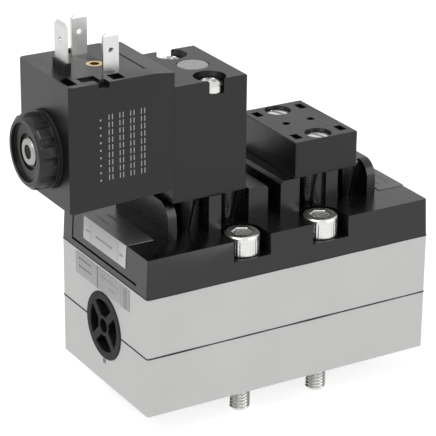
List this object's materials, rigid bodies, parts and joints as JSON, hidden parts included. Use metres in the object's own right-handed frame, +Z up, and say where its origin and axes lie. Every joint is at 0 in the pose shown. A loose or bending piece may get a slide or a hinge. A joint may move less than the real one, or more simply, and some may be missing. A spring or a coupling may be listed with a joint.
{
  "type": "directional control valve",
  "caption": "Subplate-mounted spool valve: two light metal halves, a black cover with fluted pads, a solenoid pilot block with its coil, and a blanking block.",
  "frame": {"origin": "centre of the metal underside, in the middle of the four stud ends", "axes": "+Z up through the body; +X along the spool, away from the coil; +Y across the body, away from the side the picture shows"},
  "size_m": [0.115, 0.05, 0.1157],
  "materials": {
    "base_seal": "moulded nitrile rubber",
    "lower_body": "die cast and blasted, matt light grey",
    "upper_body": "die cast and blasted, matt light grey",
    "body_gasket": "die-cut sheet",
    "left_end_plug": "injection moulded black acetal",
    "right_end_plug": "injection moulded black acetal",
    "end_plug_seals": "moulded nitrile rubber",
    "bore_seals": "moulded nitrile rubber",
    "bore_spacers": "injection moulded natural acetal",
    "spool": "turned and hard anodised",
    "pilot_piston": "injection moulded acetal",
    "piston_seal": "moulded nitrile rubber",
    "spring_cup": "injection moulded acetal",
    "return_spring": "coiled stainless spring wire",
    "body_screws": "cold headed, bright zinc plated",
    "body_label": "printed polyester film",
    "cover_gasket": "die-cut sheet",
    "cover": "injection moulded glass-filled nylon, black",
    "left_cover_label": "printed polyester film",
    "right_cover_label": "printed polyester film",
    "pilot_gasket": "die-cut sheet",
    "pilot_block": "injection moulded black polyester",
    "pilot_screws": "cold headed, bright zinc plated",
    "pilot_nozzle": "turned brass",
    "manual_override": "injection moulded grey acetal",
    "override_seal": "moulded nitrile rubber",
    "override_spring": "coiled stainless spring wire",
    "armature_tube": "drawn stainless tube",
    "fixed_core": "turned ferritic stainless steel",
    "armature": "turned ferritic stainless steel",
    "armature_seat": "moulded fluoroelastomer",
    "armature_spring": "coiled stainless spring wire",
    "coil_housing": "overmoulded black polyamide",
    "coil_bobbin": "injection moulded polyamide",
    "coil_winding": "enamelled copper wire, wound",
    "coil_yoke": "stamped and bent steel",
    "front_blade": "stamped brass, tin plated",
    "rear_blade": "stamped brass, tin plated",
    "ground_blade": "stamped brass, tin plated",
    "plug_insert": "turned brass",
    "coil_seals": "moulded nitrile rubber",
    "coil_nut": "injection moulded black nylon",
    "blanking_gasket": "die-cut sheet",
    "blanking_block": "injection moulded black polyester",
    "blanking_screws": "cold headed, bright zinc plated"
  },
  "bodies": {
    "valve": {"base_seal": "base_seal", "lower_body": "lower_body", "body_gasket": "body_gasket", "upper_body": "upper_body", "left_end_plug": "left_end_plug", "right_end_plug": "right_end_plug", "end_plug_seals": "end_plug_seals", "bore_seals": "bore_seals", "bore_spacers": "bore_spacers", "body_screws": "body_screws", "body_label": "body_label", "cover_gasket": "cover_gasket", "cover": "cover", "left_cover_label": "left_cover_label", "right_cover_label": "right_cover_label", "pilot_gasket": "pilot_gasket", "pilot_block": "pilot_block", "pilot_screws": "pilot_screws", "pilot_nozzle": "pilot_nozzle", "override_seal": "override_seal", "armature_tube": "armature_tube", "fixed_core": "fixed_core", "coil_housing": "coil_housing", "coil_bobbin": "coil_bobbin", "coil_winding": "coil_winding", "coil_yoke": "coil_yoke", "front_blade": "front_blade", "rear_blade": "rear_blade", "ground_blade": "ground_blade", "plug_insert": "plug_insert", "coil_seals": "coil_seals", "coil_nut": "coil_nut", "blanking_gasket": "blanking_gasket", "blanking_block": "blanking_block", "blanking_screws": "blanking_screws", "return_spring": "return_spring", "armature_spring": "armature_spring", "override_spring": "override_spring"},
    "spool_set": {"spool": "spool", "pilot_piston": "pilot_piston", "piston_seal": "piston_seal", "spring_cup": "spring_cup"},
    "armature_set": {"armature": "armature", "armature_seat": "armature_seat"},
    "override_button": {"manual_override": "manual_override"}
  },
  "joints": [
    {"name": "spool_slide", "type": "slide", "parent": "valve", "child": "spool_set", "axis": [1, 0, 0], "range_m": [0, 0.005], "stiffness_N_per_m": 600, "springref_m": -0.012, "deforming": ["return_spring"]},
    {"name": "armature_slide", "type": "slide", "parent": "valve", "child": "armature_set", "axis": [-1, 0, 0], "range_m": [0, 0.0008], "stiffness_N_per_m": 900, "springref_m": -0.003, "deforming": ["armature_spring"]},
    {"name": "override_push", "type": "slide", "parent": "valve", "child": "override_button", "axis": [0, 0, -1], "range_m": [0, 0.0015], "stiffness_N_per_m": 800, "springref_m": -0.002, "deforming": ["override_spring"]}
  ]
}
